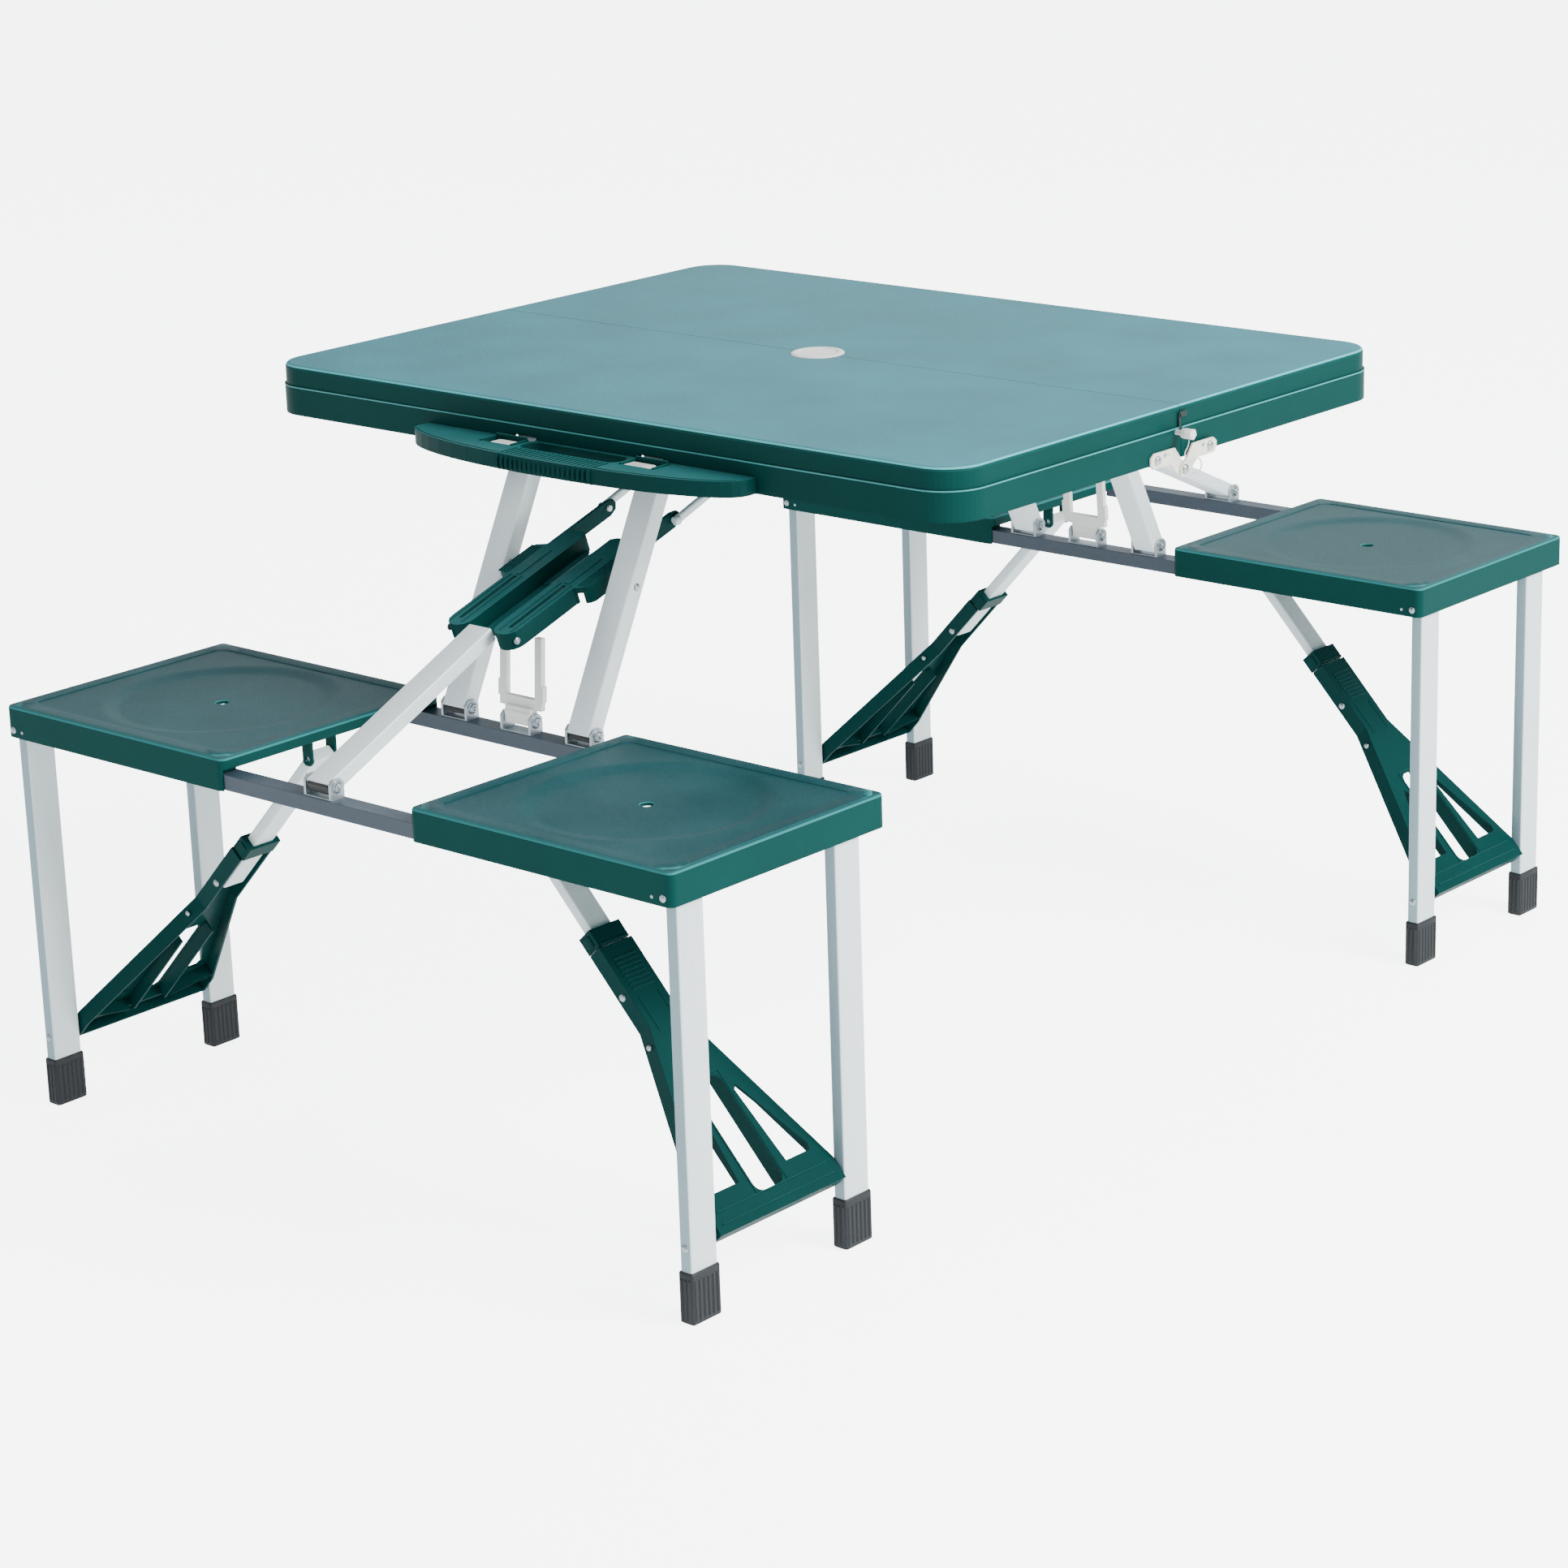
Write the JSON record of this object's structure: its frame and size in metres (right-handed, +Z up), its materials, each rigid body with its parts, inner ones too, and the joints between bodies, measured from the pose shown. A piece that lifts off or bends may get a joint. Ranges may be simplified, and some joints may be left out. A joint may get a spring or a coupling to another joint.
{
  "type": "folding picnic table",
  "caption": "Rectangular two-part plastic table top with corner seats on hinged aluminium frames that fold up inside the hollow top to make a carrying case.",
  "frame": {"origin": "on the floor below the middle of the table top", "axes": "+X along the seam between the two halves of the top, -Y towards the side with the carrying handle, +Z up"},
  "size_m": [0.8799, 1.348, 0.6571],
  "materials": {
    "green_plastic": "satin, fine leather grain on the flat faces",
    "white_plastic": "smooth",
    "rail_coating": "satin blue-grey",
    "hinge_plating": "cream, lightly speckled",
    "foot_rubber": "matt, ribbed",
    "clear_cord": "translucent",
    "aluminium": "satin, lengthwise grain"
  },
  "bodies": {
    "front_top": {"top_front_half": "green_plastic", "carry_handle": "green_plastic", "right_hinge_front_plate": "hinge_plating", "left_hinge_front_plate": "hinge_plating", "lock_pin_tether": "clear_cord"},
    "back_top": {"top_back_half": "green_plastic", "right_hinge_back_plate": "hinge_plating", "left_hinge_back_plate": "hinge_plating"},
    "lock_pin": {"lock_pin": "white_plastic"},
    "left_latch": {"left_handle_latch": "white_plastic"},
    "right_latch": {"right_handle_latch": "white_plastic"},
    "umbrella_cap": {"umbrella_hole_cap": "white_plastic"},
    "front_supports": {"front_left_support": "aluminium", "front_right_support": "aluminium"},
    "front_frame": {"front_outer_rail": "rail_coating", "front_inner_rail": "rail_coating", "front_left_seat": "green_plastic", "front_right_seat": "green_plastic"},
    "front_arm": {"front_diagonal_arm": "aluminium"},
    "front_channel": {"front_locking_channel": "green_plastic"},
    "front_rods": {"front_rod_link": "aluminium"},
    "front_fork": {"front_locking_fork": "white_plastic"},
    "front_left_legs": {"front_left_near_leg": "aluminium", "front_left_far_leg": "aluminium", "front_left_near_foot": "foot_rubber", "front_left_far_foot": "foot_rubber"},
    "front_left_stay": {"front_left_stay_tube": "aluminium"},
    "front_left_brace": {"front_left_brace": "green_plastic"},
    "front_left_collar": {"front_left_locking_collar": "green_plastic"},
    "front_right_legs": {"front_right_near_leg": "aluminium", "front_right_far_leg": "aluminium", "front_right_near_foot": "foot_rubber", "front_right_far_foot": "foot_rubber"},
    "front_right_stay": {"front_right_stay_tube": "aluminium"},
    "front_right_brace": {"front_right_brace": "green_plastic"},
    "front_right_collar": {"front_right_locking_collar": "green_plastic"},
    "back_supports": {"back_left_support": "aluminium", "back_right_support": "aluminium"},
    "back_frame": {"back_outer_rail": "rail_coating", "back_inner_rail": "rail_coating", "back_left_seat": "green_plastic", "back_right_seat": "green_plastic"},
    "back_arm": {"back_diagonal_arm": "aluminium"},
    "back_channel": {"back_locking_channel": "green_plastic"},
    "back_rods": {"back_rod_link": "aluminium"},
    "back_fork": {"back_locking_fork": "white_plastic"},
    "back_left_legs": {"back_left_near_leg": "aluminium", "back_left_far_leg": "aluminium", "back_left_near_foot": "foot_rubber", "back_left_far_foot": "foot_rubber"},
    "back_left_stay": {"back_left_stay_tube": "aluminium"},
    "back_left_brace": {"back_left_brace": "green_plastic"},
    "back_left_collar": {"back_left_locking_collar": "green_plastic"},
    "back_right_legs": {"back_right_near_leg": "aluminium", "back_right_far_leg": "aluminium", "back_right_near_foot": "foot_rubber", "back_right_far_foot": "foot_rubber"},
    "back_right_stay": {"back_right_stay_tube": "aluminium"},
    "back_right_brace": {"back_right_brace": "green_plastic"},
    "back_right_collar": {"back_right_locking_collar": "green_plastic"}
  },
  "joints": [
    {"name": "top_fold", "type": "hinge", "parent": "front_top", "child": "back_top", "pos_m": [0, 0, 0.5965], "axis": [-1, 0, 0], "range_deg": [0, 60]},
    {"name": "lock_pin_slide", "type": "slide", "parent": "front_top", "child": "lock_pin", "axis": [1, 0, 0], "range_m": [0, 0.012]},
    {"name": "left_latch_slide", "type": "slide", "parent": "front_top", "child": "left_latch", "axis": [-1, 0, 0], "range_m": [0, 0.008]},
    {"name": "right_latch_slide", "type": "slide", "parent": "front_top", "child": "right_latch", "axis": [1, 0, 0], "range_m": [0, 0.008]},
    {"name": "umbrella_cap_lift", "type": "slide", "parent": "front_top", "child": "umbrella_cap", "axis": [0, 0, 1], "range_m": [0, 0.03]},
    {"name": "front_fold", "type": "hinge", "parent": "front_top", "child": "front_supports", "pos_m": [0, -0.298, 0.638], "axis": [1, 0, 0], "range_deg": [0, 116.47]},
    {"name": "front_frame_level", "type": "hinge", "parent": "front_supports", "child": "front_frame", "pos_m": [0, -0.4205, 0.392], "axis": [1, 0, 0], "range_deg": [-116.52, 0]},
    {"name": "front_arm_hinge", "type": "hinge", "parent": "front_frame", "child": "front_arm", "pos_m": [0, -0.6615, 0.392], "axis": [1, 0, 0], "range_deg": [-27.63, 0]},
    {"name": "front_rod_hinge", "type": "hinge", "parent": "front_top", "child": "front_rods", "pos_m": [0, -0.008, 0.638], "axis": [1, 0, 0], "range_deg": [-19.86, 0]},
    {"name": "front_channel_hinge", "type": "hinge", "parent": "front_rods", "child": "front_channel", "pos_m": [0, -0.255, 0.549], "axis": [1, 0, 0], "range_deg": [0, 178.94]},
    {"name": "front_fork_hinge", "type": "hinge", "parent": "front_frame", "child": "front_fork", "pos_m": [0, -0.4205, 0.392], "axis": [1, 0, 0], "range_deg": [0, 87.05]},
    {"name": "front_left_leg_fold", "type": "hinge", "parent": "front_frame", "child": "front_left_legs", "pos_m": [-0.40865, -0.552, 0.373], "axis": [0, -1, 0], "range_deg": [0, 87]},
    {"name": "front_left_stay_hinge", "type": "hinge", "parent": "front_frame", "child": "front_left_stay", "pos_m": [-0.126, -0.552, 0.368], "axis": [0, -1, 0], "range_deg": [-46.85, 0]},
    {"name": "front_left_brace_hinge", "type": "hinge", "parent": "front_left_stay", "child": "front_left_brace", "pos_m": [-0.25938, -0.552, 0.22596], "axis": [0, -1, 0], "range_deg": [0, 177.16]},
    {"name": "front_left_collar_slide", "type": "slide", "parent": "front_left_stay", "child": "front_left_collar", "axis": [0.6845, 0, 0.729], "range_m": [0, 0.015]},
    {"name": "front_right_leg_fold", "type": "hinge", "parent": "front_frame", "child": "front_right_legs", "pos_m": [0.40865, -0.552, 0.373], "axis": [0, 1, 0], "range_deg": [0, 87]},
    {"name": "front_right_stay_hinge", "type": "hinge", "parent": "front_frame", "child": "front_right_stay", "pos_m": [0.126, -0.552, 0.368], "axis": [0, 1, 0], "range_deg": [-46.85, 0]},
    {"name": "front_right_brace_hinge", "type": "hinge", "parent": "front_right_stay", "child": "front_right_brace", "pos_m": [0.25938, -0.552, 0.22596], "axis": [0, 1, 0], "range_deg": [0, 177.16]},
    {"name": "front_right_collar_slide", "type": "slide", "parent": "front_right_stay", "child": "front_right_collar", "axis": [-0.6845, 0, 0.729], "range_m": [0, 0.015]},
    {"name": "back_fold", "type": "hinge", "parent": "back_top", "child": "back_supports", "pos_m": [0, 0.298, 0.638], "axis": [-1, 0, 0], "range_deg": [0, 116.47]},
    {"name": "back_frame_level", "type": "hinge", "parent": "back_supports", "child": "back_frame", "pos_m": [0, 0.4205, 0.392], "axis": [-1, 0, 0], "range_deg": [-116.52, 0]},
    {"name": "back_arm_hinge", "type": "hinge", "parent": "back_frame", "child": "back_arm", "pos_m": [0, 0.6615, 0.392], "axis": [-1, 0, 0], "range_deg": [-27.63, 0]},
    {"name": "back_rod_hinge", "type": "hinge", "parent": "back_top", "child": "back_rods", "pos_m": [0, 0.008, 0.638], "axis": [-1, 0, 0], "range_deg": [-19.86, 0]},
    {"name": "back_channel_hinge", "type": "hinge", "parent": "back_rods", "child": "back_channel", "pos_m": [0, 0.255, 0.549], "axis": [-1, 0, 0], "range_deg": [0, 178.94]},
    {"name": "back_fork_hinge", "type": "hinge", "parent": "back_frame", "child": "back_fork", "pos_m": [0, 0.4205, 0.392], "axis": [-1, 0, 0], "range_deg": [0, 87.05]},
    {"name": "back_left_leg_fold", "type": "hinge", "parent": "back_frame", "child": "back_left_legs", "pos_m": [-0.40865, 0.53, 0.373], "axis": [0, -1, 0], "range_deg": [0, 87]},
    {"name": "back_left_stay_hinge", "type": "hinge", "parent": "back_frame", "child": "back_left_stay", "pos_m": [-0.126, 0.53, 0.368], "axis": [0, -1, 0], "range_deg": [-46.85, 0]},
    {"name": "back_left_brace_hinge", "type": "hinge", "parent": "back_left_stay", "child": "back_left_brace", "pos_m": [-0.25938, 0.53, 0.22596], "axis": [0, -1, 0], "range_deg": [0, 177.16]},
    {"name": "back_left_collar_slide", "type": "slide", "parent": "back_left_stay", "child": "back_left_collar", "axis": [0.6845, 0, 0.729], "range_m": [0, 0.015]},
    {"name": "back_right_leg_fold", "type": "hinge", "parent": "back_frame", "child": "back_right_legs", "pos_m": [0.40865, 0.53, 0.373], "axis": [0, 1, 0], "range_deg": [0, 87]},
    {"name": "back_right_stay_hinge", "type": "hinge", "parent": "back_frame", "child": "back_right_stay", "pos_m": [0.126, 0.53, 0.368], "axis": [0, 1, 0], "range_deg": [-46.85, 0]},
    {"name": "back_right_brace_hinge", "type": "hinge", "parent": "back_right_stay", "child": "back_right_brace", "pos_m": [0.25938, 0.53, 0.22596], "axis": [0, 1, 0], "range_deg": [0, 177.16]},
    {"name": "back_right_collar_slide", "type": "slide", "parent": "back_right_stay", "child": "back_right_collar", "axis": [-0.6845, 0, 0.729], "range_m": [0, 0.015]}
  ],
  "couplings": [
    {"joint": "front_frame_level", "follows": "front_fold", "ratio": -1},
    {"joint": "front_arm_hinge", "follows": "front_fold", "ratio": -0.23678},
    {"joint": "front_rod_hinge", "follows": "front_fold", "ratio": -0.17013},
    {"joint": "front_channel_hinge", "follows": "front_fold", "ratio": 1.5359},
    {"joint": "front_fork_hinge", "follows": "front_fold", "ratio": 0.74697},
    {"joint": "front_left_stay_hinge", "follows": "front_left_leg_fold", "ratio": -0.53794},
    {"joint": "front_left_brace_hinge", "follows": "front_left_leg_fold", "ratio": 2.0357},
    {"joint": "front_right_stay_hinge", "follows": "front_right_leg_fold", "ratio": -0.53794},
    {"joint": "front_right_brace_hinge", "follows": "front_right_leg_fold", "ratio": 2.0357},
    {"joint": "back_frame_level", "follows": "back_fold", "ratio": -1},
    {"joint": "back_arm_hinge", "follows": "back_fold", "ratio": -0.23678},
    {"joint": "back_rod_hinge", "follows": "back_fold", "ratio": -0.17013},
    {"joint": "back_channel_hinge", "follows": "back_fold", "ratio": 1.5359},
    {"joint": "back_fork_hinge", "follows": "back_fold", "ratio": 0.74697},
    {"joint": "back_left_stay_hinge", "follows": "back_left_leg_fold", "ratio": -0.53794},
    {"joint": "back_left_brace_hinge", "follows": "back_left_leg_fold", "ratio": 2.0357},
    {"joint": "back_right_stay_hinge", "follows": "back_right_leg_fold", "ratio": -0.53794},
    {"joint": "back_right_brace_hinge", "follows": "back_right_leg_fold", "ratio": 2.0357}
  ]
}
